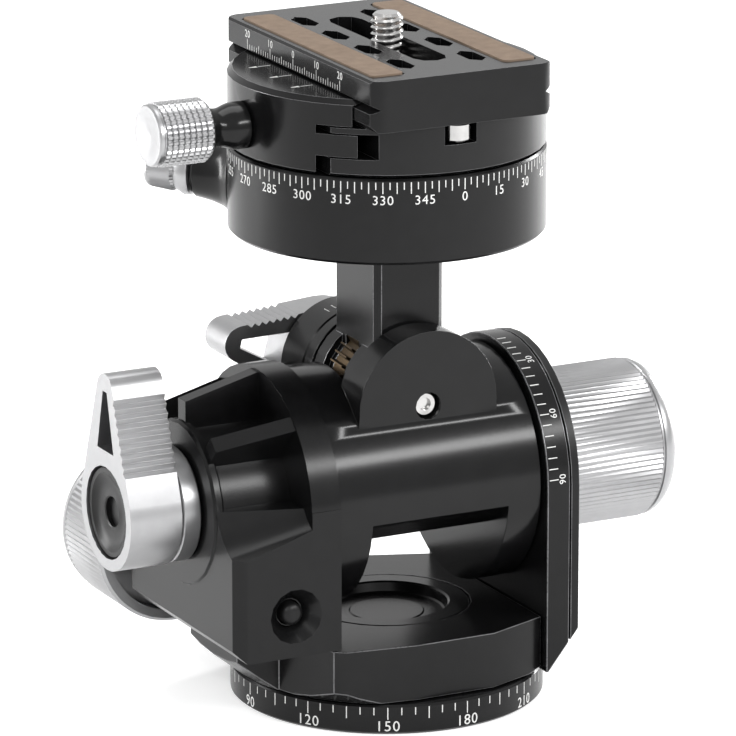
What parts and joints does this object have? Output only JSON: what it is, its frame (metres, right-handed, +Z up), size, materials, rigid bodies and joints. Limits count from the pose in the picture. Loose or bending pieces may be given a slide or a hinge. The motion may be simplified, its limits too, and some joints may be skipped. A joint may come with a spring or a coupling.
{
  "type": "geared tripod head",
  "caption": "Geared tripod head: round pan base, yoke with two worm-driven tilts turned by knobs, locking levers, and a panning drum with a dovetail clamp and camera plate.",
  "frame": {"origin": "centre of the underside of the pan base, at the mouth of the tripod thread", "axes": "+Z up along the base's pan axis, -Y to the front (the yoke's open side with the pin hole), +X to the right-hand knob of the side tilt"},
  "size_m": [0.1178, 0.0821, 0.1365],
  "materials": {
    "black_anodised": "black anodised, satin",
    "black_satin": "black anodised, matt",
    "silver_anodised": "clear anodised, fine turned",
    "steel": "machined",
    "brass": "machined",
    "cork_rubber": "matt cork rubber"
  },
  "bodies": {
    "base": {"base_ring": "black_anodised", "tripod_thread_insert": "steel", "pan_retainer": "steel", "pan_bolt": "steel"},
    "yoke": {"yoke_floor": "black_anodised", "floor_cap": "black_satin", "left_housing": "black_anodised", "worm_end_plug": "black_satin", "left_trunnion_bush": "brass", "left_worm_bush": "brass", "lever_collar": "silver_anodised", "right_upright": "black_anodised", "right_cover": "black_satin", "right_trunnion_bush": "brass"},
    "left_worm_drive": {"left_worm": "steel", "left_knob": "silver_anodised", "left_knob_screw": "steel"},
    "left_lever": {"left_lever": "silver_anodised", "left_lever_cap": "black_satin"},
    "barrel": {"barrel_body": "black_anodised", "roll_scale_ring": "black_satin", "tilt_worm_wheel": "brass", "tilt_spindle": "steel", "right_worm_bush": "brass"},
    "right_worm_drive": {"right_worm": "steel", "right_knob": "silver_anodised", "right_knob_screw": "steel"},
    "rear_lever": {"rear_lever": "silver_anodised", "rear_lever_cap": "black_satin"},
    "post": {"post": "black_anodised", "roll_worm_wheel": "brass", "roll_pin": "steel", "drum": "black_anodised", "pan_bush": "brass", "drum_bolt": "steel"},
    "pan_lock": {"pan_lock_knob": "silver_anodised", "pan_lock_screw": "steel"},
    "clamp": {"clamp_base": "black_anodised", "front_jaw_spring": "steel", "rear_jaw_spring": "steel"},
    "jaw": {"moving_jaw": "black_anodised", "front_guide_pin": "steel", "rear_guide_pin": "steel"},
    "clamp_knob": {"clamp_neck": "black_anodised", "clamp_knob": "silver_anodised", "clamp_screw": "steel"},
    "plate": {"camera_plate": "black_anodised", "left_grip_strip": "cork_rubber", "right_grip_strip": "cork_rubber", "front_stop_screw": "steel", "rear_stop_screw": "steel"},
    "camera_screw": {"camera_screw": "steel"}
  },
  "joints": [
    {"name": "base_pan", "type": "hinge", "parent": "base", "child": "yoke", "pos_m": [0, 0, 0.0063], "axis": [0, 0, 1], "continuous": true},
    {"name": "front_tilt", "type": "hinge", "parent": "yoke", "child": "barrel", "pos_m": [0, 0, 0.044], "axis": [1, 0, 0], "range_deg": [-20, 90]},
    {"name": "left_knob_turn", "type": "hinge", "parent": "yoke", "child": "left_worm_drive", "pos_m": [-0.0322, 0, 0.026], "axis": [0, 1, 0], "range_deg": [-800, 3600]},
    {"name": "left_lever_turn", "type": "hinge", "parent": "yoke", "child": "left_lever", "pos_m": [0, 0, 0.044], "axis": [1, 0, 0], "range_deg": [0, 60]},
    {"name": "side_tilt", "type": "hinge", "parent": "barrel", "child": "post", "pos_m": [0, 0, 0.062], "axis": [0, 1, 0], "range_deg": [-30, 30]},
    {"name": "right_knob_turn", "type": "hinge", "parent": "barrel", "child": "right_worm_drive", "pos_m": [0, 0, 0.044], "axis": [1, 0, 0], "range_deg": [-1200, 1200]},
    {"name": "rear_lever_turn", "type": "hinge", "parent": "barrel", "child": "rear_lever", "pos_m": [0, 0, 0.062], "axis": [0, 1, 0], "range_deg": [0, 45]},
    {"name": "pan_lock_turn", "type": "hinge", "parent": "post", "child": "pan_lock", "pos_m": [0, 0, 0.10255], "axis": [-0.7431, 0.6691, 0], "range_deg": [0, 180]},
    {"name": "top_pan", "type": "hinge", "parent": "post", "child": "clamp", "pos_m": [0, 0, 0.1113], "axis": [0, 0, 1], "continuous": true},
    {"name": "jaw_slide", "type": "slide", "parent": "clamp", "child": "jaw", "axis": [-1, 0, 0], "range_m": [0, 0.0018]},
    {"name": "clamp_knob_turn", "type": "hinge", "parent": "jaw", "child": "clamp_knob", "pos_m": [-0.031, 0, 0.1176], "axis": [-1, 0, 0], "range_deg": [0, 648]},
    {"name": "plate_slide", "type": "slide", "parent": "clamp", "child": "plate", "axis": [0, 1, 0], "range_m": [-0.0078, 0.0078]},
    {"name": "camera_screw_turn", "type": "hinge", "parent": "plate", "child": "camera_screw", "pos_m": [0, 0, 0.1213], "axis": [0, 0, 1], "continuous": true}
  ],
  "couplings": [
    {"joint": "left_knob_turn", "follows": "front_tilt", "ratio": 40},
    {"joint": "right_knob_turn", "follows": "side_tilt", "ratio": 40},
    {"joint": "clamp_knob_turn", "follows": "jaw_slide", "rad_per_m": 6283.2}
  ]
}
